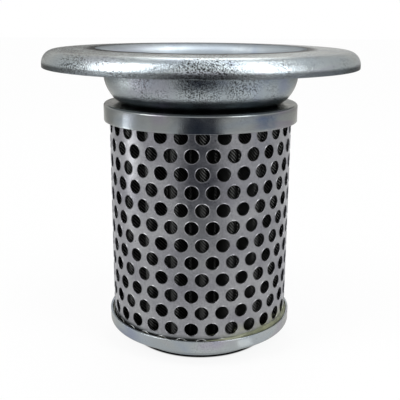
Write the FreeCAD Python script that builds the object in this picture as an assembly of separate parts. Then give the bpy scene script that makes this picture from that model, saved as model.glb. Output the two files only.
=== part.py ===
import FreeCAD, Part
import math
import os

# Hydraulic oil strainer: a pressed flange with a bowl, on a pleated wire mesh
# element held between two pressed end caps, with a relief valve in the lower cap.
# Millimetres. +Z is up, the origin is on the axis, at the flat the strainer stands on.

V = FreeCAD.Vector
AXIS = V(0, 0, 1)

# Perforated outer tube: round holes on a 60 degree pattern, punched flat, then rolled
tube_outer_d = 83.9
tube_wall = 0.8
tube_hole_d = 6.0
tube_holes_round = 29
tube_lowest_row_rise = 1.56
tube_hole_turn = -88.64
stagger_angle = 60.0
hole_sides = 8

# Perforated core tube inside the pleats
core_wall = 0.7
core_hole_d = 9.0
core_holes_round = 14
core_hole_margin = 14.0

# Pleated wire mesh pack
pleat_count = 20
pleat_turn = -87.93
mesh_thickness = 0.8
pleat_tip_radius = 2.0
pleat_valley_radius = 1.5
mesh_gap_to_tube = 0.25
mesh_gap_to_core = 0.3

# End caps, pressed from one gauge of sheet
cap_sheet = 1.0
cap_corner_radius = 1.5
top_cap_d = 89.4
top_cap_height = 7.9
bottom_cap_d = 88.0
bottom_cap_height = 6.0
element_length = 106.45

# Boss pressed out of the lower cap, with the relief valve's ports
boss_d = 68.0
boss_depth = 6.65
boss_corner_radius = 2.0
boss_root_radius = 1.0
dimple_d = 17.0
dimple_depth = 1.8
dimple_slope = 45.0
port_d = 9.0
port_count = 6
port_circle_d = 37.0

# Adhesive in the caps
top_adhesive_depth = 4.6
bottom_adhesive_depth = 4.0
tube_embed_gap = 0.55
mesh_embed_gap = 0.85
core_gap_to_boss = 0.1
core_rise_in_boss = 1.5

# Flange, bowl and neck, one pressing
flange_d = 142.8
flange_sheet = 1.5
flange_height = 25.1
rim_drop = 8.7
rim_lip = 1.6
rim_roll_width = 9.4
rim_roll_split = 50.0
crown_inner_d = 94.0
bowl_d = 89.06
bowl_floor_d = 68.3
bowl_corner_height = 14.1
bowl_corner_split = 40.0
neck_bore_d = 52.0
neck_bend_radius = 3.0
neck_length = 10.6

# Relief valve
stem_d = 6.0
stem_height = 38.0
stem_head_d = 11.0
stem_head_height = 1.3
stem_shoulder_d = 10.0
stem_shoulder_height = 2.4
stem_running_gap = 0.05
seal_inner_d = 23.0
seal_outer_d = 52.0
seal_thickness = 2.0
disc_d = 53.0
disc_sheet = 1.2
disc_crown_d = 18.4
disc_crown_rise = 3.3
disc_crown_slope = 60.0
disc_hub_height = 7.0
spring_wire_d = 1.6
spring_mean_d = 21.0
spring_length = 25.8
spring_coils = 5
retainer_sheet = 1.2
retainer_d = 27.0
retainer_rim = 3.0
nut_across_flats = 10.0
nut_height = 5.0

# Levels and radii that follow
cap_floor = boss_depth + cap_sheet
top_cap_top = boss_depth + element_length
top_cap_inside = top_cap_top - cap_sheet
tube_outer_r = tube_outer_d / 2
tube_inner_r = tube_outer_r - tube_wall
tube_bottom = cap_floor + tube_embed_gap
tube_top = top_cap_inside - tube_embed_gap
core_outer_r = boss_d / 2 - cap_sheet - core_gap_to_boss
core_inner_r = core_outer_r - core_wall
core_bottom = cap_sheet + core_rise_in_boss
core_top = top_cap_inside - tube_embed_gap
mesh_outer_r = tube_inner_r - mesh_gap_to_tube
mesh_inner_r = core_outer_r + mesh_gap_to_core
mesh_bottom = cap_floor + mesh_embed_gap
mesh_top = top_cap_inside - mesh_embed_gap
crown_top = top_cap_top + flange_height
disc_top = cap_sheet + seal_thickness + disc_sheet
stem_r = stem_d / 2
hub_bore_r = stem_r + stem_running_gap
retainer_bottom = disc_top + spring_length


def strip(start, heading, moves, wall):
    """Section of a bent sheet. The moves trace one face in the (r, z) plane.

    A move is ("run", length) or ("bend", radius, turn), with turn in degrees and
    positive to the left. The other face lies a wall's thickness to the left.
    """
    faces = [trace(start, heading, moves, 0.0), trace(start, heading, moves, wall)]
    edges = faces[0][0] + faces[1][0]
    edges.append(Part.LineSegment(faces[0][1], faces[1][1]).toShape())
    edges.append(Part.LineSegment(faces[0][2], faces[1][2]).toShape())
    return Part.Face(Part.Wire(Part.__sortEdges__(edges)))


def trace(start, heading, moves, offset):
    """Edges, first point and last point of one face of a bent sheet."""
    angle = math.radians(heading)
    point = V(start[0] - offset * math.sin(angle), 0, start[1] + offset * math.cos(angle))
    first = point
    edges = []
    for move in moves:
        if move[0] == "run":
            end = point + V(math.cos(angle), 0, math.sin(angle)) * move[1]
            edges.append(Part.LineSegment(point, end).toShape())
        else:
            side = 1 if move[2] > 0 else -1
            radius = move[1] - side * offset
            turn = math.radians(move[2])
            centre = point + V(-math.sin(angle), 0, math.cos(angle)) * (side * radius)
            middle = arc_point(centre, radius, side, angle + turn / 2)
            end = arc_point(centre, radius, side, angle + turn)
            edges.append(Part.Arc(point, middle, end).toShape())
            angle += turn
        point = end
    return edges, first, point


def arc_point(centre, radius, side, angle):
    """Point of a bend where the sheet's heading is angle."""
    return centre + V(math.sin(angle), 0, -math.cos(angle)) * (side * radius)


def two_arc_corner(width, height, split):
    """Radii of two tangent arcs that round a corner, the first through split degrees."""
    s = math.sin(math.radians(split))
    c = math.cos(math.radians(split))
    first = (height * c - width * (1 - s)) / (s * c - (1 - c) * (1 - s))
    second = (width - first * (1 - c)) / c
    return first, second


def turned(face):
    """Solid of revolution about the axis."""
    return face.revolve(V(0, 0, 0), AXIS, 360)


def lathe(points):
    """Solid of revolution of a closed outline of (r, z) points."""
    corners = [V(r, 0, z) for r, z in points]
    return turned(Part.Face(Part.makePolygon(corners + corners[:1])))


def ring(inner_r, outer_r, low, high):
    return lathe([(inner_r, low), (outer_r, low), (outer_r, high), (inner_r, high)])


def hole_cutter(diameter, angle, inner_r, outer_r, z):
    """Radial prism of a round hole's area, with hole_sides flat sides."""
    step = 2 * math.pi / hole_sides
    radius = diameter / 2 * math.sqrt(step / math.sin(step))
    corners = []
    for k in range(hole_sides):
        a = (k + 0.5) * step
        corners.append(V(inner_r, radius * math.sin(a), z + radius * math.cos(a)))
    cutter = Part.Face(Part.makePolygon(corners + corners[:1])).extrude(V(outer_r - inner_r, 0, 0))
    cutter.rotate(V(0, 0, 0), AXIS, angle)
    return cutter


def perforated_tube(inner_r, outer_r, low, high, first_row, last_row, hole_d, count, turn):
    """Rolled perforated sheet. Alternate rows are shifted by half a pitch."""
    pitch = math.pi * (inner_r + outer_r) / count
    row_pitch = pitch * math.sin(math.radians(stagger_angle))
    rows = int((last_row - first_row) / row_pitch) + 1
    cutters = []
    for row in range(rows):
        for k in range(count):
            angle = turn + (k + 0.5 * (row % 2)) * 360.0 / count
            z = first_row + row * row_pitch
            cutters.append(hole_cutter(hole_d, angle, inner_r - 1, outer_r + 1, z))
    return ring(inner_r, outer_r, low, high).cut(cutters)


def outer_tube():
    first_row = tube_bottom + tube_lowest_row_rise
    last_row = tube_top - top_adhesive_depth - tube_hole_d / 2
    return perforated_tube(tube_inner_r, tube_outer_r, tube_bottom, tube_top, first_row,
                           last_row, tube_hole_d, tube_holes_round, tube_hole_turn)


def core_tube():
    return perforated_tube(core_inner_r, core_outer_r, core_bottom, core_top,
                           core_bottom + core_hole_margin, core_top - core_hole_margin,
                           core_hole_d, core_holes_round, tube_hole_turn)


def pleat_outline(offset):
    """Closed outline of the pleats, offset outwards from the middle of the mesh."""
    tip_centre_r = mesh_outer_r - mesh_thickness / 2 - pleat_tip_radius
    valley_centre_r = mesh_inner_r + mesh_thickness / 2 + pleat_valley_radius
    tip_r = pleat_tip_radius + offset
    valley_r = pleat_valley_radius - offset
    half = math.pi / pleat_count
    tip = V(tip_centre_r, 0, 0)
    valley = V(valley_centre_r * math.cos(half), valley_centre_r * math.sin(half), 0)
    along = valley - tip
    lean = math.acos((tip_r + valley_r) / along.Length)
    normal = math.atan2(along.y, along.x) - lean
    touch = V(math.cos(normal), math.sin(normal), 0)
    tip_end = tip + touch * tip_r
    valley_start = valley - touch * valley_r
    edges = []
    for k in range(pleat_count):
        pleat = [
            Part.Arc(mirrored(tip_end), V(tip_centre_r + tip_r, 0, 0), tip_end),
            Part.LineSegment(tip_end, valley_start),
            Part.Arc(valley_start, turned_point(V(valley_centre_r - valley_r, 0, 0), half),
                     turned_point(mirrored(valley_start), 2 * half)),
            Part.LineSegment(turned_point(mirrored(valley_start), 2 * half),
                             turned_point(mirrored(tip_end), 2 * half)),
        ]
        for curve in pleat:
            edge = curve.toShape()
            edge.rotate(V(0, 0, 0), AXIS, pleat_turn + k * 360.0 / pleat_count)
            edges.append(edge)
    return Part.Wire(Part.__sortEdges__(edges))


def mirrored(point):
    return V(point.x, -point.y, 0)


def turned_point(point, angle):
    c = math.cos(angle)
    s = math.sin(angle)
    return V(point.x * c - point.y * s, point.x * s + point.y * c, 0)


def pleated_mesh():
    outside = Part.Face(pleat_outline(mesh_thickness / 2))
    inside = Part.Face(pleat_outline(-mesh_thickness / 2))
    band = outside.cut(inside).Faces[0]
    band.translate(AXIS * mesh_bottom)
    return band.extrude(AXIS * (mesh_top - mesh_bottom))


def top_end_cap():
    outer_r = top_cap_d / 2
    opening_r = neck_bore_d / 2 + neck_bend_radius
    moves = [
        ("run", top_cap_height - cap_corner_radius),
        ("bend", cap_corner_radius, 90),
        ("run", outer_r - cap_corner_radius - opening_r),
    ]
    return turned(strip((outer_r, top_cap_top - top_cap_height), 90, moves, cap_sheet))


def bottom_end_cap():
    outer_r = bottom_cap_d / 2
    boss_r = boss_d / 2
    slope = math.radians(dimple_slope)
    dimple_run = dimple_depth / math.sin(slope)
    dimple_start = dimple_d / 2 + dimple_depth / math.tan(slope)
    moves = [
        ("run", bottom_cap_height - cap_corner_radius),
        ("bend", cap_corner_radius, -90),
        ("run", outer_r - cap_corner_radius - boss_r - boss_root_radius),
        ("bend", boss_root_radius, 90),
        ("run", boss_depth - boss_root_radius - boss_corner_radius),
        ("bend", boss_corner_radius, -90),
        ("run", boss_r - boss_corner_radius - dimple_start),
    ]
    rim_top = boss_depth + bottom_cap_height
    outside = strip((outer_r, rim_top), -90, moves, -cap_sheet)
    dimple = lathe([
        (stem_r, dimple_depth),
        (dimple_start - dimple_run * math.cos(slope), dimple_depth),
        (dimple_start, 0),
        (dimple_start, cap_sheet),
        (dimple_start - cap_sheet * math.tan(slope / 2), cap_sheet),
        (dimple_d / 2 - cap_sheet * math.tan(slope / 2), dimple_depth + cap_sheet),
        (stem_r, dimple_depth + cap_sheet),
    ])
    cap = turned(outside).fuse(dimple).removeSplitter()
    ports = []
    for k in range(port_count):
        angle = 2 * math.pi * k / port_count
        centre = V(math.cos(angle), math.sin(angle), 0) * (port_circle_d / 2)
        ports.append(Part.makeCylinder(port_d / 2, cap_sheet + 2, centre - AXIS, AXIS))
    return cap.cut(ports)


def potting(low, high, outer_r, cap, embedded):
    """Adhesive cast in a cap, around the ends that stand in it."""
    blank = ring(core_outer_r, outer_r, low, high)
    tube_groove = ring(tube_inner_r, tube_outer_r, tube_bottom, tube_top)
    return blank.cut([cap, tube_groove] + embedded)


def mounting_flange():
    outer_r = flange_d / 2
    roll_height = rim_drop - rim_lip
    rim_first, rim_second = two_arc_corner(rim_roll_width, roll_height, rim_roll_split)
    bowl_inner_r = bowl_d / 2 - flange_sheet
    bowl_width = (bowl_d - bowl_floor_d) / 2
    bowl_first, bowl_second = two_arc_corner(bowl_width, bowl_corner_height, bowl_corner_split)
    crown_bend = crown_inner_d / 2 - bowl_inner_r
    neck_r = neck_bore_d / 2
    wall_height = flange_height - crown_bend - bowl_corner_height
    moves = [
        ("run", rim_lip),
        ("bend", rim_first, rim_roll_split),
        ("bend", rim_second, 90 - rim_roll_split),
        ("run", outer_r - rim_roll_width - crown_inner_d / 2),
        ("bend", crown_bend, 90),
        ("run", wall_height),
        ("bend", bowl_first - flange_sheet, -bowl_corner_split),
        ("bend", bowl_second - flange_sheet, bowl_corner_split - 90),
        ("run", bowl_floor_d / 2 - neck_r - neck_bend_radius),
        ("bend", neck_bend_radius, 90),
        ("run", neck_length - neck_bend_radius),
    ]
    return turned(strip((outer_r, crown_top - rim_drop), 90, moves, flange_sheet))


def valve_stem():
    seat = dimple_depth + cap_sheet
    head_low = dimple_depth - stem_head_height
    return lathe([
        (0, head_low),
        (stem_head_d / 2, head_low),
        (stem_head_d / 2, dimple_depth),
        (stem_r, dimple_depth),
        (stem_r, seat),
        (stem_shoulder_d / 2, seat),
        (stem_shoulder_d / 2, seat + stem_shoulder_height),
        (stem_r, seat + stem_shoulder_height),
        (stem_r, stem_height),
        (0, stem_height),
    ])


def valve_disc():
    slope = math.radians(disc_crown_slope)
    crown_foot = disc_crown_d / 2
    crown_head = crown_foot - disc_crown_rise / math.tan(slope)
    hub_r = hub_bore_r + disc_sheet
    corner = disc_sheet * math.tan(slope / 2)
    low = disc_top - disc_sheet
    crown = disc_top + disc_crown_rise
    return lathe([
        (disc_d / 2, low),
        (disc_d / 2, disc_top),
        (crown_foot, disc_top),
        (crown_head, crown),
        (hub_r, crown),
        (hub_r, crown + disc_hub_height),
        (hub_bore_r, crown + disc_hub_height),
        (hub_bore_r, crown - disc_sheet),
        (crown_head - corner, crown - disc_sheet),
        (crown_foot - corner, low),
    ])


def valve_spring():
    """Coil with a six-sided wire, which keeps its faces few."""
    wire_r = spring_wire_d / 2
    rise = spring_length - spring_wire_d
    helix = Part.makeHelix(rise / spring_coils, rise, spring_mean_d / 2)
    corners = []
    for k in range(6):
        a = math.radians(60 * k + 30)
        corners.append(V(spring_mean_d / 2 + wire_r * math.cos(a), 0, wire_r * math.sin(a)))
    section = Part.makePolygon(corners + corners[:1])
    coil = Part.Wire(helix).makePipeShell([section], True, True)
    coil.translate(V(0, 0, disc_top + wire_r))
    return coil


def spring_retainer():
    moves = [
        ("run", retainer_rim),
        ("bend", retainer_sheet + 0.3, 90),
        ("run", retainer_d / 2 - retainer_sheet - 0.3 - stem_r),
    ]
    start = (retainer_d / 2, retainer_bottom - retainer_rim - 0.3)
    return turned(strip(start, 90, moves, retainer_sheet))


def retainer_nut():
    low = retainer_bottom + retainer_sheet
    corners = []
    for k in range(6):
        a = math.radians(60 * k)
        corners.append(V(math.cos(a), math.sin(a), 0) * (nut_across_flats / math.sqrt(3)))
    nut = Part.Face(Part.makePolygon(corners + corners[:1])).extrude(AXIS * nut_height)
    nut.translate(AXIS * low)
    return nut.cut(Part.makeCylinder(stem_r, nut_height, AXIS * low, AXIS))


def export(name, shape):
    shape.exportStep("parts/" + name + ".step")
    print(name, shape.isValid(), len(shape.Solids), round(shape.Volume, 1))


os.makedirs("parts", exist_ok=True)

top_cap = top_end_cap()
bottom_cap = bottom_end_cap()
mesh = pleated_mesh()
core_envelope = ring(core_inner_r, core_outer_r, core_bottom, core_top)
top_level = top_cap_inside - top_adhesive_depth
bottom_level = cap_floor + bottom_adhesive_depth

export("mounting_flange", mounting_flange())
export("top_end_cap", top_cap)
export("bottom_end_cap", bottom_cap)
export("outer_tube", outer_tube())
export("pleated_mesh", mesh)
export("core_tube", core_tube())
export("top_adhesive", potting(top_level, top_cap_inside, top_cap_d / 2 - cap_sheet,
                               top_cap, [mesh, core_envelope]))
export("bottom_adhesive", potting(cap_floor, bottom_level, bottom_cap_d / 2 - cap_sheet,
                                  bottom_cap, [mesh, core_envelope]))
export("valve_stem", valve_stem())
export("valve_seal", ring(seal_inner_d / 2, seal_outer_d / 2, cap_sheet,
                          cap_sheet + seal_thickness))
export("valve_disc", valve_disc())
export("valve_spring", valve_spring())
export("spring_retainer", spring_retainer())
export("retainer_nut", retainer_nut())
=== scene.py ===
import math

import bmesh
import bpy
from mathutils import Matrix, Vector, noise


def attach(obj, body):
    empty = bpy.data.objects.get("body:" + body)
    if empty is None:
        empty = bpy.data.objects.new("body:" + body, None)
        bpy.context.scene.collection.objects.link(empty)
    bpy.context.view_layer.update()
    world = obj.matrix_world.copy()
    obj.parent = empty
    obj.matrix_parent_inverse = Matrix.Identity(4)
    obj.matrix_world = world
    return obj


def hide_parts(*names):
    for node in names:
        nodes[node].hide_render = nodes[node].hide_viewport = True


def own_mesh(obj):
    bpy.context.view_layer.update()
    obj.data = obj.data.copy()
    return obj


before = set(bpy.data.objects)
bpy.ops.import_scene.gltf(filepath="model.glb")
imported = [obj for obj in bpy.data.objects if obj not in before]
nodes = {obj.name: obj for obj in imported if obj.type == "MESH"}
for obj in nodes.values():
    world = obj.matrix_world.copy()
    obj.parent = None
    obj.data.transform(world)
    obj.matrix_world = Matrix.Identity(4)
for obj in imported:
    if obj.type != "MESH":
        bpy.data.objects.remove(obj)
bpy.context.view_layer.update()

MM = 0.001

# The part's sizes, in millimetres and degrees, as in part.py; a radius is half a diameter there
CAD_TOP, FLANGE_R, FLANGE_SHEET, FLANGE_DROP = 138.2, 71.4, 1.5, 8.7
ELEMENT_LENGTH, CAP_SHEET = 106.45, 1.0
UPPER_CAP_R, UPPER_CAP_HEIGHT, OPENING_R = 44.7, 7.9, 29.0
LOWER_CAP_R, LOWER_CAP_HEIGHT, BOSS_R, BOSS_DEPTH = 44.0, 6.0, 34.0, 6.65
PORTS, PORT_CIRCLE = 6, 18.5
TUBE_OUTER_R, TUBE_WALL, TUBE_END_GAP = 41.95, 0.8, 0.55
HOLE_R, HOLES_ROUND, HOLE_ROWS, HOLE_TURN, FIRST_ROW_RISE = 3.0, 29, 13, -88.64, 1.56
PLEATS, PLEAT_TURN, TIP_R, VALLEY_R, CORE_GAP = 20, -87.93, 2.0, 1.5, 0.1
MESH_WALL, MESH_END_GAP, MESH_TUBE_GAP, MESH_CORE_GAP = 0.8, 0.85, 0.25, 0.3
SPRING_LENGTH, SPRING_R, WIRE_R, COILS, DISC_TOP = 25.8, 10.5, 0.8, 5, 4.2

# Places worked out from them; the pack stands between the lower cap's floor and the upper cap's roof
CAP_FLOOR = BOSS_DEPTH + CAP_SHEET
CAP_ROOF = BOSS_DEPTH + ELEMENT_LENGTH - CAP_SHEET
LOWER_RIM = BOSS_DEPTH + LOWER_CAP_HEIGHT
UPPER_CAP_LOW = BOSS_DEPTH + ELEMENT_LENGTH - UPPER_CAP_HEIGHT
TUBE_LOW, TUBE_HIGH = CAP_FLOOR + TUBE_END_GAP, CAP_ROOF - TUBE_END_GAP
FIRST_ROW = TUBE_LOW + FIRST_ROW_RISE
MESH_LOW, MESH_HIGH = CAP_FLOOR + MESH_END_GAP, CAP_ROOF - MESH_END_GAP
CORE_R = BOSS_R - CAP_SHEET - CORE_GAP
TIP_CENTRE = TUBE_OUTER_R - TUBE_WALL - MESH_TUBE_GAP - MESH_WALL / 2 - TIP_R
VALLEY_CENTRE = CORE_R + MESH_CORE_GAP + MESH_WALL / 2 + VALLEY_R
SPRING_LOW, SPRING_HIGH = DISC_TOP, DISC_TOP + SPRING_LENGTH

# How finely outlines are drawn: a straight's step, a bend's step in degrees, points of a small corner
RUN_STEP, BEND_STEP, CORNER_POINTS = 1.2, 7.5, 6


# Meshes

def linked(name, bm):
    """Object in the scene made of the bmesh."""
    mesh = bpy.data.meshes.new(name)
    bm.to_mesh(mesh)
    bm.free()
    obj = bpy.data.objects.new(name, mesh)
    bpy.context.scene.collection.objects.link(obj)
    return obj


def piece(name, bm, replaced, sharp=35.0):
    """Object, smooth but for its sharp edges, that takes a node's place on the strainer."""
    bmesh.ops.recalc_face_normals(bm, faces=bm.faces)
    obj = linked(name, bm)
    obj.data.shade_smooth()
    obj.data.set_sharp_from_angle(angle=math.radians(sharp))
    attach(obj, "strainer")
    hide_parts(replaced)
    return obj


def skin(bm, rings, turned=False):
    """Quads between each closed ring of vertices and the next; turned winds them the other way."""
    for near, far in zip(rings, rings[1:]):
        for j in range(len(near)):
            i = (j + 1) % len(near)
            if turned:
                bm.faces.new((near[j], near[i], far[i], far[j]))
            else:
                bm.faces.new((near[j], far[j], far[i], near[i]))


def trace(start, heading, moves, offset):
    """Points along one face of a bent sheet in the (r, z) plane.

    A move is ("run", length) or ("bend", radius, degrees); radii are those at offset 0.
    """
    a = math.radians(heading)
    p = (start[0] - offset * math.sin(a), start[1] + offset * math.cos(a))
    points = [p]
    for kind, size, *angle in moves:
        if kind == "run":
            n = max(1, math.ceil(size / RUN_STEP))
            for k in range(1, n + 1):
                d = size * k / n
                points.append((p[0] + d * math.cos(a), p[1] + d * math.sin(a)))
        else:
            side = 1 if angle[0] > 0 else -1
            radius = size - side * offset
            turn = math.radians(angle[0])
            cx, cz = p[0] - side * radius * math.sin(a), p[1] + side * radius * math.cos(a)
            n = max(3, math.ceil(abs(angle[0]) / BEND_STEP))
            for k in range(1, n + 1):
                b = a + turn * k / n
                points.append((cx + side * radius * math.sin(b), cz - side * radius * math.cos(b)))
            a += turn
        p = points[-1]
    return points


def strip(start, heading, moves, wall):
    """Closed outline of a bent sheet."""
    return trace(start, heading, moves, 0) + trace(start, heading, moves, wall)[::-1]


def rounded(points, radius, least=30.0):
    """The closed outline with corners of least degrees and more turned into small arcs."""
    out = []
    count = len(points)
    for k, p in enumerate(points):
        a, b = Vector(points[k - 1]), Vector(points[(k + 1) % count])
        p = Vector(p)
        u, v = (a - p), (b - p)
        inner = u.angle(v) if u.length and v.length else math.pi
        if math.degrees(math.pi - inner) < least:
            out.append(p)
            continue
        # No arc takes more than 0.45 of a side, so that neighbours leave each other room
        back = min(radius / math.tan(inner / 2), 0.45 * u.length, 0.45 * v.length)
        real = back * math.tan(inner / 2)
        u, v = u.normalized(), v.normalized()
        centre = p + (u + v).normalized() * (real / math.sin(inner / 2))
        first, last = p + u * back - centre, p + v * back - centre
        sweep = first.angle_signed(last)
        for j in range(CORNER_POINTS):
            turned = first.copy()
            turned.rotate(Matrix.Rotation(-sweep * j / (CORNER_POINTS - 1), 2))
            out.append(centre + turned)
    return [tuple(q) for q in out]


def lathe(bm, outline, segments=256):
    """Closed (r, z) outline turned about the axis."""
    rings = []
    for k in range(segments):
        a = 2 * math.pi * k / segments
        c, s = math.cos(a) * MM, math.sin(a) * MM
        rings.append([bm.verts.new((r * c, r * s, z * MM)) for r, z in outline])
    skin(bm, rings + rings[:1])


def two_arc_corner(width, height, split, total=90):
    """Radii of two tangent arcs that turn through total degrees, the first through split of them."""
    sa, ca = math.sin(math.radians(split)), math.cos(math.radians(split))
    sb, cb = math.sin(math.radians(total)), math.cos(math.radians(total))
    first = (width * (sb - sa) - height * (ca - cb)) / ((1 - ca) * (sb - sa) - (ca - cb) * sa)
    return first, (width - first * (1 - ca)) / (ca - cb)


def make_flange():
    """One pressing: lip, roll, domed crown, bowl and neck."""
    lip_low, lip_height = CAD_TOP - FLANGE_DROP, 1.6
    peak_r, peak_z, slope = 48.5, 137.5, 3
    roll_width, roll_split = 5.6, 55
    crown_r = (FLANGE_R - roll_width - peak_r) / math.sin(math.radians(slope))
    roll_height = peak_z - crown_r * (1 - math.cos(math.radians(slope))) - lip_low - lip_height
    roll_first, roll_second = two_arc_corner(roll_width, roll_height, roll_split, 90 - slope)
    mouth_r, bowl_r, bowl_depth = 47.0, 44.53, 25.1
    corner_width, corner_height, corner_split = 10.38, 14.1, 40
    corner_first, corner_second = two_arc_corner(corner_width, corner_height, corner_split)
    neck_bend, neck_height = 3.0, 7.6
    mouth_bend = mouth_r - (bowl_r - FLANGE_SHEET)
    moves = [
        ("run", lip_height),
        ("bend", roll_first, roll_split), ("bend", roll_second, 90 - slope - roll_split),
        ("bend", crown_r, slope), ("run", peak_r - mouth_r), ("bend", mouth_bend, 90),
        ("run", bowl_depth - (CAD_TOP - peak_z) - mouth_bend - corner_height),
        ("bend", corner_first - FLANGE_SHEET, -corner_split),
        ("bend", corner_second - FLANGE_SHEET, corner_split - 90),
        ("run", bowl_r - corner_width - OPENING_R), ("bend", neck_bend, 90), ("run", neck_height),
    ]
    bm = bmesh.new()
    lathe(bm, rounded(strip((FLANGE_R, lip_low), 90, moves, FLANGE_SHEET), 0.35))
    return piece("mounting_flange_pressing", bm, "mounting_flange")


def make_top_cap():
    bend = 1.1
    moves = [("run", UPPER_CAP_HEIGHT - bend), ("bend", bend, 90), ("run", UPPER_CAP_R - bend - OPENING_R)]
    bm = bmesh.new()
    lathe(bm, rounded(strip((UPPER_CAP_R, UPPER_CAP_LOW), 90, moves, CAP_SHEET), 0.2))
    return piece("upper_cap_pressing", bm, "top_end_cap")


def port_cutters():
    """Object with the shape of the six ports, flared at both faces of the sheet."""
    sides = 48
    # Radius and height
    flare = [(5.2, -2.0), (4.75, 0.0), (4.5, 0.25), (4.5, 0.75), (4.75, 1.0), (5.2, 3.0)]
    bm = bmesh.new()
    for k in range(PORTS):
        a = 2 * math.pi * k / PORTS
        place = Matrix.Translation((PORT_CIRCLE * MM * math.cos(a), PORT_CIRCLE * MM * math.sin(a), 0))
        angles = [2 * math.pi * j / sides for j in range(sides)]
        low = bm.verts.new(place @ Vector((0, 0, flare[0][1] * MM)))
        rings = [[bm.verts.new(place @ Vector((r * MM * math.cos(b), r * MM * math.sin(b), z * MM)))
                  for b in angles] for r, z in flare]
        high = bm.verts.new(place @ Vector((0, 0, flare[-1][1] * MM)))
        for j in range(sides):
            bm.faces.new((low, rings[0][(j + 1) % sides], rings[0][j]))
        skin(bm, rings, turned=True)
        for j in range(sides):
            bm.faces.new((rings[-1][j], rings[-1][(j + 1) % sides], high))
    bmesh.ops.recalc_face_normals(bm, faces=bm.faces)
    return linked("port_tool", bm)


def make_bottom_cap():
    """Cup stepped down to a boss, with ports and, in the middle, a dimple for the stem's rivet head."""
    rim_height, rim_bend, step_bend, boss_bend = 4.5, 1.5, 1.0, 1.2
    dimple_top_r, dimple_height, stem_hole_r = 8.5, 1.8, 3.0
    dimple_r = dimple_top_r + dimple_height
    moves = [
        ("run", rim_height), ("bend", rim_bend, -90),
        ("run", LOWER_CAP_R - rim_bend - BOSS_R - step_bend),
        ("bend", step_bend, 90), ("run", BOSS_DEPTH - step_bend - boss_bend),
        ("bend", boss_bend, -90), ("run", BOSS_R - boss_bend - dimple_r),
    ]
    start = (LOWER_CAP_R, LOWER_RIM)
    inset = CAP_SHEET * math.tan(math.radians(22.5))
    dimple = [
        (dimple_top_r, dimple_height), (stem_hole_r, dimple_height), (stem_hole_r, dimple_height + CAP_SHEET),
        (dimple_top_r - inset, dimple_height + CAP_SHEET), (dimple_r - inset, CAP_SHEET),
    ]
    outline = trace(start, -90, moves, 0) + dimple + trace(start, -90, moves, -CAP_SHEET)[-2::-1]
    bm = bmesh.new()
    lathe(bm, rounded(outline, 0.2))
    cap = piece("lower_cap_pressing", bm, "bottom_end_cap")
    tool = port_cutters()
    tool_mesh = tool.data
    cut = cap.modifiers.new("ports", "BOOLEAN")
    cut.operation = "DIFFERENCE"
    cut.solver = "EXACT"
    cut.object = tool
    depsgraph = bpy.context.evaluated_depsgraph_get()
    result = bpy.data.meshes.new_from_object(cap.evaluated_get(depsgraph))
    cap.modifiers.clear()
    cap.data = result
    result.name = "lower_cap_pressing"
    result.shade_smooth()
    result.set_sharp_from_angle(angle=math.radians(30))
    bpy.data.objects.remove(tool)
    bpy.data.meshes.remove(tool_mesh)
    return cap


def make_tube():
    """Rolled perforated sheet, one hexagon for each hole, with a raised lip round it."""
    mid_r = TUBE_OUTER_R - TUBE_WALL / 2
    pitch = 2 * math.pi * mid_r / HOLES_ROUND
    row_pitch = pitch * math.sin(math.radians(60))
    hole_sides = 24
    # Distance outside the hole's radius and depth below the outer face: the lip, then the hole's wall
    lip = [(0.38, 0.0), (0.34, 0.0), (0.28, -0.07), (0.2, -0.14), (0.12, -0.15), (0.05, -0.08),
           (0.04, 0.0), (0.04, 0.72), (0.1, TUBE_WALL)]
    bm = bmesh.new()

    def place(u, v, depth):
        a = u / mid_r
        r = TUBE_OUTER_R - depth
        return bm.verts.new((r * MM * math.cos(a), r * MM * math.sin(a), v * MM))

    # Cosine, sine and distance of the hexagon's edge, in each direction from the hole's centre
    edge = []
    for j in range(hole_sides):
        b = math.radians(j * 360.0 / hole_sides)
        off = (b + math.pi / 6) % (math.pi / 3) - math.pi / 6
        edge.append((math.cos(b), math.sin(b), pitch / 2 / math.cos(off)))
    for row in range(HOLE_ROWS):
        for k in range(HOLES_ROUND):
            angle = math.radians(HOLE_TURN + (k + 0.5 * (row % 2)) * 360.0 / HOLES_ROUND)
            cu, cv = angle * mid_r, FIRST_ROW + row * row_pitch
            loops = [[place(cu + c * d, cv + s * d, 0) for c, s, d in edge]]
            for out, depth in lip:
                loops.append([place(cu + c * (HOLE_R + out), cv + s * (HOLE_R + out), depth)
                              for c, s, d in edge])
            loops.append([place(cu + c * d, cv + s * d, TUBE_WALL) for c, s, d in edge])
            skin(bm, loops, turned=True)
    # The hexagons share their edges, in metres
    weld, on_plane = 2e-6, 1e-7
    bmesh.ops.remove_doubles(bm, verts=bm.verts, dist=weld)

    def open_edges(low, high):
        return [e for e in bm.edges if len(e.link_faces) == 1 and low * MM < e.verts[0].co.z < high * MM]

    # The plain band above the last row, up to the end that stands in the adhesive
    grown = bmesh.ops.extrude_edge_only(bm, edges=open_edges(90, 200))
    for v in (g for g in grown["geom"] if isinstance(g, bmesh.types.BMVert)):
        v.co.z = TUBE_HIGH * MM
    bmesh.ops.bisect_plane(bm, geom=bm.verts[:] + bm.edges[:] + bm.faces[:], dist=on_plane,
                           plane_co=(0, 0, TUBE_LOW * MM), plane_no=(0, 0, -1), clear_outer=True)
    # Both ends are closed between the outer face and the inner
    bmesh.ops.holes_fill(bm, edges=open_edges(0, 50), sides=0)
    bmesh.ops.bridge_loops(bm, edges=open_edges(100, 200))
    return piece("outer_tube_sheet", bm, "outer_tube", sharp=50)


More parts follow.
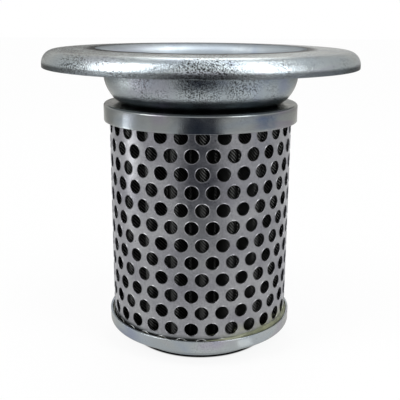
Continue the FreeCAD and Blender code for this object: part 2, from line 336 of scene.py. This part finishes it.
def pleat_line(offset, wobble):
    """Closed outline of the folds as (x, y); wobble gives each fold's turn in degrees."""
    half = math.pi / PLEATS
    tip_r, valley_r = TIP_R + offset, VALLEY_R - offset
    tip = Vector((TIP_CENTRE, 0))
    valley = Vector((VALLEY_CENTRE * math.cos(half), VALLEY_CENTRE * math.sin(half)))
    along = valley - tip
    normal = math.atan2(along.y, along.x) - math.acos((tip_r + valley_r) / along.length)
    touch = Vector((math.cos(normal), math.sin(normal)))
    tip_steps, flank_steps, valley_steps = 8, 5, 6
    half_pleat = [tip + tip_r * Vector((math.cos(normal * k / tip_steps), math.sin(normal * k / tip_steps)))
                  for k in range(tip_steps + 1)]
    start, end = half_pleat[-1], valley - touch * valley_r
    half_pleat += [start.lerp(end, k / flank_steps) for k in range(1, flank_steps + 1)]
    first, last = normal + math.pi, half + math.pi
    half_pleat += [valley + valley_r * Vector((math.cos(b), math.sin(b)))
                   for b in (first + (last - first) * k / valley_steps
                             for k in range(1, valley_steps + 1))]
    points = []
    for k in range(PLEATS):
        turn = math.radians(PLEAT_TURN + k * 360.0 / PLEATS + wobble(k))
        right = [Vector((p.x, -p.y)) for p in half_pleat[:0:-1]]
        for p in (right + half_pleat)[:-1]:
            points.append((p.x * math.cos(turn) - p.y * math.sin(turn),
                           p.x * math.sin(turn) + p.y * math.cos(turn)))
    return points


def make_pleats():
    """Woven wire cloth in folds that wander a little.

    Its UV is the length along the cloth and the height, in metres.
    """
    levels = 26
    bm = bmesh.new()
    uv = bm.loops.layers.uv.new("cloth")
    sides = []
    for offset in (MESH_WALL / 2, -MESH_WALL / 2):
        rows = []
        for level in range(levels + 1):
            z = MESH_LOW + (MESH_HIGH - MESH_LOW) * level / levels
            line = pleat_line(offset, lambda k: 0.32 * math.sin(2.1 * k + z / 23.0) * math.sin(1.3 * k + 1))
            rows.append([bm.verts.new((x * MM, y * MM, z * MM)) for x, y in line])
        sides.append(rows)
    first = sides[0][0]
    length = [0.0]
    for j in range(len(first)):
        length.append(length[-1] + (first[(j + 1) % len(first)].co - first[j].co).length)
    for rows in sides:
        for low, high in zip(rows, rows[1:]):
            for j in range(len(low)):
                i = (j + 1) % len(low)
                face = bm.faces.new((low[j], low[i], high[i], high[j]))
                for loop, s in zip(face.loops, (length[j], length[j + 1], length[j + 1], length[j])):
                    loop[uv].uv = (s, loop.vert.co.z)
    for level in (0, levels):
        skin(bm, [sides[0][level], sides[1][level]], turned=True)
    return piece("pleated_wire_cloth", bm, "pleated_mesh", sharp=60)


def make_lower_adhesive():
    """Cast adhesive with an uneven top, drawn up the tube and thicker on one side."""
    bm = bmesh.new()
    segments = 288
    thick_side, even_level, rise = math.radians(-36), 9.6, 2.9
    # Its sides, just clear of the core and of the cap's rim
    core_side, rim_side = CORE_R + 0.05, LOWER_CAP_R - CAP_SHEET - 0.03
    # Its top inside the tube, then in the narrow ring between the tube and the rim
    radii = [core_side, 34.5, 36.5, 38.5, 40.2, 41.1, TUBE_OUTER_R, 42.1, 42.3, 42.55, 42.8, rim_side]
    # Its underside, as radius and height over the cap's floor
    under = [(rim_side, 0.55), (42.4, 0.03), (core_side, 0.03)]
    rings = []
    for k in range(segments):
        a = 2 * math.pi * k / segments
        c, s = math.cos(a), math.sin(a)
        side = (max(0.0, math.cos(a - thick_side) + 0.15) / 1.15) ** 1.9
        ripple = noise.noise(Vector((c * 3.1, s * 3.1, 0.4))) + 0.5 * noise.noise(Vector((c * 9, s * 9, 3)))
        column = []
        for r in radii:
            outside = r >= TUBE_OUTER_R
            climb = 1.3 * (0.1 + side) * math.exp((TUBE_OUTER_R - r) / 0.28) if outside else 0.0
            creep = 0.7 * (0.1 + side) * math.exp((r - rim_side) / 0.2)
            z = even_level + rise * side + 0.5 * ripple + climb + creep + (0.3 * ripple if outside else 0.0)
            # It never stands over the rim beside it
            z = min(z, LOWER_RIM - 0.05 if r > 42.6 else LOWER_RIM + 1.6)
            column.append((r, z))
        column += [(r, CAP_FLOOR + up) for r, up in under]
        rings.append([bm.verts.new((r * c * MM, r * s * MM, z * MM)) for r, z in column])
    skin(bm, rings + rings[:1])
    return piece("lower_adhesive_cast", bm, "bottom_adhesive", sharp=70)


def make_spring():
    """Coil spring of round wire, with its end turns closed and ground flat."""
    bm = bmesh.new()
    turns, around, per_turn = COILS + 2.0, 14, 56
    low, high = SPRING_LOW + WIRE_R, SPRING_HIGH - WIRE_R
    # Rise of a closed end turn, and what grinding takes off
    closed, ground = 0.875 * WIRE_R, 0.02
    rings = []
    for k in range(int(turns * per_turn) + 1):
        t = k / per_turn
        if t < 1.0:
            z = low + closed * t
        elif t > turns - 1.0:
            z = high - closed * (turns - t)
        else:
            z = low + closed + (high - low - 2 * closed) * (t - 1.0) / COILS
        a = 2 * math.pi * t
        out = Vector((math.cos(a), math.sin(a), 0))
        centre = SPRING_R * out + Vector((0, 0, z))
        ring = []
        for j in range(around):
            b = 2 * math.pi * j / around
            p = centre + WIRE_R * (math.cos(b) * out + math.sin(b) * Vector((0, 0, 1)))
            p.z = min(max(p.z, SPRING_LOW + ground), SPRING_HIGH - ground)
            ring.append(bm.verts.new(p * MM))
        rings.append(ring)
    skin(bm, rings, turned=True)
    bm.faces.new(rings[0])
    bm.faces.new(rings[-1])
    spring = piece("relief_spring_wire", bm, "valve_spring", sharp=60)
    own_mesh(spring)
    return spring


flange = make_flange()
top_cap = make_top_cap()
bottom_cap = make_bottom_cap()
tube = make_tube()
pleats = make_pleats()
lower_adhesive = make_lower_adhesive()
spring = make_spring()


# Materials

def rgb(r, g, b):
    """An sRGB colour, 0 to 255, as the linear colour a socket takes."""
    def linear(v):
        v /= 255.0
        return v / 12.92 if v <= 0.04045 else ((v + 0.055) / 1.055) ** 2.4
    return (linear(r), linear(g), linear(b), 1.0)


def grey(v):
    return (v, v, v, 1.0)


class Nodes:
    """Short calls for the nodes of one tree."""

    def __init__(self, tree):
        self.tree = tree

    def put(self, made, socket, value):
        """Link a socket to a node's input, or set the input to a value."""
        if isinstance(value, bpy.types.NodeSocket):
            self.tree.links.new(value, made.inputs[socket])
        else:
            made.inputs[socket].default_value = value

    def node(self, kind, inputs=None, **settings):
        made = self.tree.nodes.new(kind)
        for key, value in settings.items():
            setattr(made, key, value)
        for key, value in (inputs or {}).items():
            self.put(made, key, value)
        return made

    def coordinate(self, kind):
        return self.node("ShaderNodeTexCoord").outputs[kind]

    def split(self, vector):
        """A vector's x, y and z."""
        made = self.node("ShaderNodeSeparateXYZ", {"Vector": vector})
        return [made.outputs[axis] for axis in "XYZ"]

    def vector(self, what, a, b=(0, 0, 0)):
        return self.node("ShaderNodeVectorMath", {0: a, 1: b}, operation=what).outputs["Value"]

    def math(self, what, a, b=0.0):
        return self.node("ShaderNodeMath", {0: a, 1: b}, operation=what).outputs[0]

    def plus(self, a, b):
        return self.math("ADD", a, b)

    def times(self, a, b):
        return self.math("MULTIPLY", a, b)

    def larger(self, a, b):
        return self.math("MAXIMUM", a, b)

    def range(self, value, a, b, c, d):
        """The value's way from a to b as a way from c to d."""
        return self.node("ShaderNodeMapRange", {
            "Value": value, "From Min": a, "From Max": b, "To Min": c, "To Max": d}).outputs["Result"]

    def steps(self, value, *parts):
        """Sum of smooth steps, each (from, to, height)."""
        total = None
        for near, far, most in parts:
            height = self.node("ShaderNodeMapRange", {
                "Value": value, "From Min": near, "From Max": far, "To Max": most},
                interpolation_type="SMOOTHSTEP").outputs["Result"]
            total = height if total is None else self.plus(total, height)
        return total

    def rays(self):
        """Whether a ray comes from the camera, and whether from a mirror or through glass."""
        path = self.node("ShaderNodeLightPath").outputs
        return path["Is Camera Ray"], self.larger(path["Is Glossy Ray"], path["Is Transmission Ray"])


class Shader(Nodes):
    """A material with a principled surface."""

    def __init__(self, name, **values):
        self.material = bpy.data.materials.new(name)
        self.material.use_nodes = True
        super().__init__(self.material.node_tree)
        self.bsdf = self.tree.nodes["Principled BSDF"]
        self.spot = self.coordinate("Object")
        for socket, value in values.items():
            self.surface(socket, value)

    def surface(self, socket, value):
        self.put(self.bsdf, socket, value)

    def stretched(self, x, y, z):
        return self.node("ShaderNodeMapping", {"Vector": self.spot, "Scale": (x, y, z)}).outputs["Vector"]

    def noise(self, scale, detail=2.0, vector=None, rough=0.5, distortion=0.0):
        return self.node("ShaderNodeTexNoise", {
            "Vector": vector or self.spot, "Scale": scale, "Detail": detail, "Roughness": rough,
            "Distortion": distortion}).outputs["Fac"]

    def ramp(self, value, *stops):
        """Colour ramp with (place, colour) stops."""
        made = self.node("ShaderNodeValToRGB", {"Fac": value})
        band = made.color_ramp
        while len(band.elements) < len(stops):
            band.elements.new(0.5)
        for element, (place, colour) in zip(band.elements, stops):
            element.position = place
            element.color = colour
        return made.outputs["Color"]

    def mix(self, share, a, b, way="MIX"):
        """Two colours mixed; of a mix node, inputs 0, 6 and 7 are share and colours, output 2 is a colour."""
        made = self.node("ShaderNodeMix", {0: share, 6: a, 7: b}, data_type="RGBA", blend_type=way)
        return made.outputs[2]

    def bump(self, *layers):
        """Bumps on each other, each (height, metres)."""
        normal = None
        for height, distance in layers:
            inputs = {"Height": height, "Strength": 1.0, "Distance": distance}
            if normal is not None:
                inputs["Normal"] = normal
            normal = self.node("ShaderNodeBump", inputs).outputs["Normal"]
        self.surface("Normal", normal)


# Zinc: its tint at grazing angles, its colour and tint where shade is painted on, and the colours of its
# passivation
ZINC_EDGE = (0.78, 0.77, 0.73, 1.0)
PAINTED_DARK, PAINTED_DARK_EDGE = grey(0.03), grey(0.1)
PASSIVATION = ((0.28, rgb(176, 184, 222)), (0.42, rgb(226, 232, 236)), (0.55, rgb(236, 236, 230)),
               (0.68, rgb(228, 214, 226)), (0.8, rgb(196, 210, 236)))
# The flange's most pitted patches, two on the roll and two on the bowl: centre and reach in metres
PITTED = ((0.002, -0.0715, 0.1324, 0.0165), (-0.051, -0.051, 0.132, 0.014),
          (-0.003, -0.044, 0.124, 0.009), (0.015, -0.0415, 0.124, 0.007))


def flange_painted_shade(s, across):
    """Share of the flange with painted shade: a dark ring painted round the bowl's mouth, the lip painted
    dark, and painted shade on the bowl's outside under the roll.
    """
    high = s.split(s.spot)[2]
    ring = s.times(s.range(across, 0.0453, 0.0458, 0.0, 1.0), s.range(across, 0.0495, 0.0535, 1.0, 0.0))
    lip = s.times(s.range(across, 0.0705, 0.0709, 0.0, 1.0), s.range(high, 0.1322, 0.1312, 0.0, 0.55))
    bowl = s.times(s.range(across, 0.06, 0.05, 0.0, 1.0), s.range(high, 0.1295, 0.127, 0.0, 0.27))
    bowl = s.times(bowl, s.range(high, 0.1245, 0.1175, 1.0, 0.5))
    return s.larger(s.larger(s.times(ring, 0.8), lip), bowl)


def plated(name, base, rough, grain, tint, streaks=False, satin=None, painted_shade_heights=None):
    """Bright zinc on a pressing: mottled, speckled, with faint colours of passivation.

    grain is how pitted it is and tint how coloured. satin, for the flange, is the roughness round its
    bowl's mouth; with it come the flange's painted shade and its most pitted patches. The last argument is
    the height from which painted shade makes the plating darker, and that where it is darkest; painted shade
    then also darkens the side towards +x.
    """
    s = Shader(name, Metallic=1.0)
    film = s.noise(23.0, 2.0, distortion=1.2, vector=s.stretched(1, 1, 2.2))
    speck = s.noise(1600.0, 3.0, rough=0.65)
    patch = s.range(s.noise(75.0, 3.0), 0.42, 0.64, 0.0, 1.0)
    colour = s.ramp(s.noise(38.0, 3.0), *((place, (*(c * level for c in base[:3]), 1.0))
                                          for place, level in ((0.3, 0.86), (0.7, 1.1))))
    colour = s.mix(tint, colour, s.ramp(film, *PASSIVATION), "MULTIPLY")
    if satin is not None:
        for x, y, z, reach in PITTED:
            near = s.range(s.vector("DISTANCE", s.spot, (x, y, z)), reach, reach * 0.45, 0.0, 1.0)
            patch = s.larger(patch, near)
            speck = s.math("SUBTRACT", speck, s.times(near, 0.023))
    pits = s.ramp(speck, (0.4, grey(0.08)), (0.47, grey(0.95)), (0.62, grey(1.15)))
    colour = s.mix(s.times(patch, grain), colour, pits, "MULTIPLY")
    # Share of painted shade, where the plating is drawn darker
    painted_dark = None
    if satin is not None:
        across = s.vector("LENGTH", s.stretched(1, 1, 0))
        rough = s.range(across, 0.046, 0.053, satin, rough)
        painted_dark = flange_painted_shade(s, across)
    elif painted_shade_heights:
        # Painted shade: darker towards the bowl's top bend and towards its +x side
        x, _, z = s.split(s.spot)
        painted_dark = s.larger(s.range(z, *painted_shade_heights, 0.0, 0.72), s.range(x, -0.002, 0.022, 0.0, 0.27))
    if painted_dark is None:
        s.surface("Base Color", colour)
        s.surface("Specular Tint", ZINC_EDGE)
    else:
        s.surface("Base Color", s.mix(painted_dark, colour, PAINTED_DARK))
        s.surface("Specular Tint", s.mix(painted_dark, ZINC_EDGE, PAINTED_DARK_EDGE))
    s.surface("Roughness", s.plus(s.range(s.noise(160.0, 3.0), 0.3, 0.7, -0.05, 0.07), rough))
    layers = [(speck, 0.00013 * grain + 0.000004), (s.noise(420.0, 2.0), 0.00006 * grain + 0.000006)]
    if streaks:
        layers.append((s.noise(1.0, 3.0, vector=s.stretched(420, 420, 25)), 0.00003))
    s.bump(*layers)
    return s.material


def perforated_steel():
    """Satin sheet, with adhesive smeared up it on one side and painted shade along its foot."""
    s = Shader("satin_sheet", Metallic=1.0)
    colour = s.ramp(s.noise(60.0, 4.0), (0.3, rgb(124, 124, 130)), (0.7, rgb(152, 153, 155)))
    grain = s.ramp(s.noise(1500.0, 3.0, rough=0.7), (0.36, grey(0.72)), (0.5, grey(1.0)), (0.64, grey(1.22)))
    colour = s.mix(0.8, colour, grain, "MULTIPLY")
    high = s.split(s.spot)[2]
    # Radians round the axis
    thick_side = -0.66
    toward = s.vector("DOT_PRODUCT", s.spot, (math.cos(thick_side), math.sin(thick_side), 0))
    smear = s.times(s.range(toward, 0.031, 0.04, 0.0, 1.0), s.range(high, 0.02, 0.012, 0.0, 1.0))
    smear = s.times(smear, s.range(s.noise(190.0, 3.0), 0.38, 0.58, 0.2, 0.85))
    colour = s.mix(smear, colour, rgb(146, 149, 108))
    # Painted shade: the sheet darker towards its foot, next to the cap's rim
    painted_foot_shade = s.range(high, 0.0152, 0.0125, 0.0, 0.45)
    s.surface("Base Color", s.mix(painted_foot_shade, colour, rgb(84, 88, 78)))
    s.surface("Roughness", s.range(s.noise(300.0, 3.0), 0.3, 0.7, 0.27, 0.36))
    s.bump((s.noise(1300.0, 2.0), 0.00003), (s.noise(160.0, 2.0), 0.00004))
    return s.material


def woven_wire():
    """Dark wire cloth in a twill: a diagonal rib and finer wires across it, laid out by its UV."""
    s = Shader("wire_cloth", Metallic=1.0, Roughness=0.34)
    along, up, _ = s.split(s.node("ShaderNodeUVMap", uv_map="cloth").outputs["UV"])
    pitch = 2 * math.pi / 0.0015
    diagonal = s.math("SINE", s.times(s.plus(along, up), pitch))
    cross = s.math("SINE", s.times(s.math("SUBTRACT", along, s.times(up, 0.35)), pitch * 1.9))
    height = s.plus(s.plus(s.times(diagonal, 0.36), s.times(cross, 0.16)), 0.5)
    s.surface("Base Color", s.ramp(height, (0.3, grey(0.001)), (0.55, grey(0.012)), (0.85, rgb(98, 99, 98))))
    s.bump((height, 0.00022))
    return s.material


def adhesive():
    s = Shader("cured_adhesive", Roughness=0.3, IOR=1.5)
    s.surface("Base Color", s.ramp(s.noise(150.0, 3.0), (0.3, rgb(92, 96, 76)), (0.55, rgb(122, 126, 98)),
                                   (0.8, rgb(152, 154, 124))))
    s.bump((s.noise(500.0, 3.0), 0.00015))
    return s.material


def rubber():
    s = Shader("seal_rubber", Roughness=0.6)
    s.surface("Base Color", s.ramp(s.noise(300.0, 3.0), (0.3, grey(0.012)), (0.7, grey(0.025))))
    s.bump((s.noise(1500.0, 2.0), 0.00003))
    return s.material


def spring_steel():
    s = Shader("spring_wire_steel", Metallic=1.0)
    drawn = s.noise(1.0, 2.0, vector=s.stretched(300, 300, 1600))
    s.surface("Base Color", s.ramp(drawn, (0.3, rgb(96, 98, 104)), (0.7, rgb(138, 140, 146))))
    s.surface("Roughness", s.range(drawn, 0.3, 0.7, 0.25, 0.4))
    s.bump((drawn, 0.00001))
    return s.material


def dress(obj, *made):
    obj.data.materials.clear()
    for m in made:
        obj.data.materials.append(m)


flange_zinc = plated("zinc_flange", rgb(174, 182, 187), rough=0.15, grain=1.0, tint=0.5, satin=0.2)
# The bowl's inside: a brighter copy of the flange's zinc, painted light, with painted shade at its top bend
# and +x side
bowl_zinc_painted_light = plated("zinc_bowl_inside_painted_light", rgb(186, 194, 201), rough=0.55, grain=0.2, tint=0.4,
                   painted_shade_heights=(0.1352, 0.1375))
cap_zinc = plated("zinc_cap", rgb(150, 154, 157), rough=0.2, grain=0.15, tint=0.8, streaks=True)
# The lower cap's zinc: a brighter copy of the upper cap's, painted light for the pale paper close by
lower_zinc_painted_light = plated("zinc_lower_cap_painted_light", rgb(168, 173, 177), rough=0.22, grain=0.2, tint=0.7, streaks=True)
small_zinc = plated("zinc_small", rgb(160, 164, 168), rough=0.28, grain=0.3, tint=0.4)
tube_steel = perforated_steel()
glue = adhesive()

dress(flange, flange_zinc, bowl_zinc_painted_light)
# The inside of the bowl and the neck: faces within its mouth that look inward or up take a brighter copy of
# the zinc, painted light
MOUTH_REACH, LEAN = 0.0478, 0.2
for face in flange.data.polygons:
    out = Vector((face.center.x, face.center.y)).normalized().dot(Vector((face.normal.x, face.normal.y)))
    if math.hypot(face.center.x, face.center.y) < MOUTH_REACH and (out < -LEAN or face.normal.z > LEAN):
        face.material_index = 1
dress(top_cap, cap_zinc)
dress(bottom_cap, lower_zinc_painted_light)
dress(tube, tube_steel)
dress(pleats, woven_wire())
dress(lower_adhesive, glue)
dress(spring, spring_steel())
dress(nodes["core_tube"], tube_steel)
dress(nodes["top_adhesive"], glue)
dress(nodes["valve_seal"], rubber())
for name in ("valve_stem", "valve_disc", "spring_retainer", "retainer_nut"):
    dress(nodes[name], small_zinc)


# Studio and camera

def make_world(diffuse_level):
    """White for the camera and in reflections, diffuse_level for plain light."""
    world = bpy.data.worlds.new("studio")
    bpy.context.scene.world = world
    world.use_nodes = True
    n = Nodes(world.node_tree)
    camera, mirrored = n.rays()
    level = n.plus(n.times(n.larger(camera, mirrored), 1.0 - diffuse_level), diffuse_level)
    # Reflections see the dark edge of the room all round, darkest behind the object and to its left
    x, y, z = n.split(n.coordinate("Generated"))
    leftward = n.plus(n.steps(x, (0.03, 0.14, -0.65)), 1.0)
    low = n.steps(z, (-0.06, -0.02, 1.0), (0.09, 0.22, -1.0))
    low = n.times(low, n.plus(n.times(n.steps(y, (0.75, 0.97, 0.14)), leftward), 0.2))
    tall = n.times(n.steps(z, (0.09, 0.22, 1.0), (0.5, 0.85, -1.0)), n.steps(y, (-0.1, 0.5, 0.18)))
    horizon = n.times(n.steps(z, (-0.02, 0.01, 0.95), (0.095, 0.12, -0.95)), n.steps(y, (0.85, 0.97, 1.0)))
    dark = n.times(n.larger(n.plus(low, tall), n.times(horizon, leftward)), mirrored)
    background = n.tree.nodes["Background"]
    n.put(background, "Color", grey(1))
    n.put(background, "Strength", n.math("SUBTRACT", level, dark))


def make_floor():
    """Pale paper that keeps the shadow and fades to white, with a painted black contact shadow under the
    boss.
    """
    bm = bmesh.new()
    bmesh.ops.create_grid(bm, x_segments=1, y_segments=1, size=4.0)
    floor = linked("floor", bm)
    floor.location.z = -0.0002
    material = bpy.data.materials.new("pale_floor")
    material.use_nodes = True
    n = Nodes(material.node_tree)
    n.tree.nodes.clear()
    camera, mirrored = n.rays()
    distance = n.vector("LENGTH", n.coordinate("Object"))
    # Painted contact shadow: the paper is black under the boss and pale beyond it
    paper_painted_shadow = n.steps(distance, (0.0345, 0.0356, 0.86))
    paper = n.node("ShaderNodeBsdfDiffuse", {
        "Color": n.node("ShaderNodeCombineXYZ", {axis: paper_painted_shadow for axis in "XYZ"}).outputs[0]})
    # Reflections see the floor end in a darker room
    far_dark = n.times(n.steps(distance, (0.5, 1.2, 0.5)), mirrored)
    white = n.node("ShaderNodeEmission", {"Strength": n.math("SUBTRACT", 1.0, far_dark)})
    shown = n.times(n.steps(distance, (0.0332, 0.0343, 0.9), (0.0343, 0.2, 0.08)), camera)
    # In reflections it glows, with a painted glow under the boss that dims towards its edge, then a painted
    # contact shadow as a dark ring under the boss's edge
    reflected_glow_and_shadow = n.steps(distance, (0.0, 0.031, -0.35), (0.0315, 0.0325, -0.45), (0.035, 0.0356, 0.66),
                  (0.04, 0.062, 0.24), (0.062, 0.4, 0.1))
    share = n.plus(shown, n.times(n.plus(reflected_glow_and_shadow, 0.8), mirrored))
    blend = n.node("ShaderNodeMixShader", {0: share, 1: paper.outputs[0], 2: white.outputs[0]})
    # Seen from below, the floor isn't there
    below = n.times(n.node("ShaderNodeNewGeometry").outputs["Backfacing"], camera)
    clear = n.node("ShaderNodeMixShader", {
        0: below, 1: blend.outputs[0], 2: n.node("ShaderNodeBsdfTransparent").outputs[0]})
    n.node("ShaderNodeOutputMaterial", {"Surface": clear.outputs[0]})
    floor.data.materials.append(material)


def softbox(name, direction, distance, size, radiance):
    """Area light that looks at the object's middle; radiance 1 shows as white."""
    light = bpy.data.lights.new(name, "AREA")
    light.shape = "RECTANGLE"
    light.size, light.size_y = size
    light.energy = radiance * math.pi * size[0] * size[1]
    obj = bpy.data.objects.new(name, light)
    bpy.context.scene.collection.objects.link(obj)
    way = Vector(direction).normalized()
    middle = Vector((0, 0, 0.09))
    obj.location = middle + way * distance
    obj.rotation_euler = way.to_track_quat("Z", "Y").to_euler()
    obj.visible_camera = False


def card(name, corners, value):
    """Card that only reflections see, as a photographer's flag or reflector; corners in metres."""
    mesh = bpy.data.meshes.new(name)
    mesh.from_pydata(corners, [], [(0, 1, 2, 3)])
    sheet = bpy.data.objects.new(name, mesh)
    bpy.context.scene.collection.objects.link(sheet)
    sheet.visible_camera = False
    sheet.visible_diffuse = False
    sheet.visible_shadow = False
    material = bpy.data.materials.new(name)
    material.use_nodes = True
    n = Nodes(material.node_tree)
    n.tree.nodes.clear()
    glow = n.node("ShaderNodeEmission", {"Color": value})
    n.node("ShaderNodeOutputMaterial", {"Surface": glow.outputs[0]})
    mesh.materials.append(material)


def make_camera():
    """Camera as fitted to the photograph."""
    camera = bpy.data.objects.new("camera", bpy.data.cameras.new("camera"))
    bpy.context.scene.collection.objects.link(camera)
    camera.data.sensor_width = 36.0
    camera.data.lens = 61.91
    camera.data.clip_start = 0.01
    camera.data.dof.use_dof = False
    camera.location = (0, -0.3201, 0.1530)
    down, roll = 0.2663, 0.0064
    turn = Matrix.Rotation(math.pi / 2 - down, 3, "X") @ Matrix.Rotation(roll, 3, "Z")
    camera.rotation_euler = turn.to_euler()
    bpy.context.scene.camera = camera


make_world(diffuse_level=0.35)
make_floor()
for name, direction, distance, size, radiance in (
        ("softbox_left", (-0.66, -0.38, 0.5), 0.7, (0.32, 0.7), 5.0),
        ("softbox_right", (0.55, -0.5, 0.55), 0.7, (0.3, 0.7), 4.6),
        ("softbox_over", (0.3, 0.02, 0.95), 0.75, (0.2, 0.3), 4.0),
        ("softbox_top", (0.02, 0.69, 0.72), 0.75, (0.28, 0.5), 3.5),
        ("strip_left", (-0.96, 0.0, -0.18), 0.3, (0.05, 0.06), 4.0)):
    softbox(name, direction, distance, size, radiance)

# Cards that lie just over the floor, with their corners as (x, y)
FLAT, LOW = 0.001, 0.0015
for name, height, value, corners in (
        ("front_card", FLAT, rgb(48, 55, 70), ((-0.12, -0.2), (0.12, -0.2), (0.42, -1.3), (-0.42, -1.3))),
        ("blue_card", LOW, rgb(46, 106, 178), ((0.62, -0.36), (0.86, -0.36), (0.86, 0.04), (0.62, 0.04))),
        ("blue_far_card", LOW, rgb(60, 95, 160), ((1.2, 0.05), (1.9, 0.1), (1.9, 0.5), (1.2, 0.35))),
        ("side_reflector", LOW, (1.7, 1.7, 1.9, 1),
         ((-1.3, -0.26), (-0.72, -0.14), (-0.72, 0.08), (-1.3, 0.16))),
        ("back_card", LOW, grey(0.55), ((-1.0, 0.35), (-0.4, 0.3), (-0.4, 0.75), (-1.0, 1.1))),
        ("low_reflector", LOW, grey(1.6),
         ((0.027, -0.047), (0.034, -0.056), (0.044, -0.048), (0.036, -0.04)))):
    card(name, [(x, y, height) for x, y in corners], value)
# One that stands at the front card's far edge
flag_y, flag_half, flag_top = -1.3, 0.8, 0.2
card("front_flag", [(-flag_half, flag_y, FLAT), (flag_half, flag_y, FLAT),
                    (flag_half, flag_y, flag_top), (-flag_half, flag_y, flag_top)], rgb(24, 27, 31))
make_camera()
bpy.context.scene.view_settings.view_transform = "Standard"
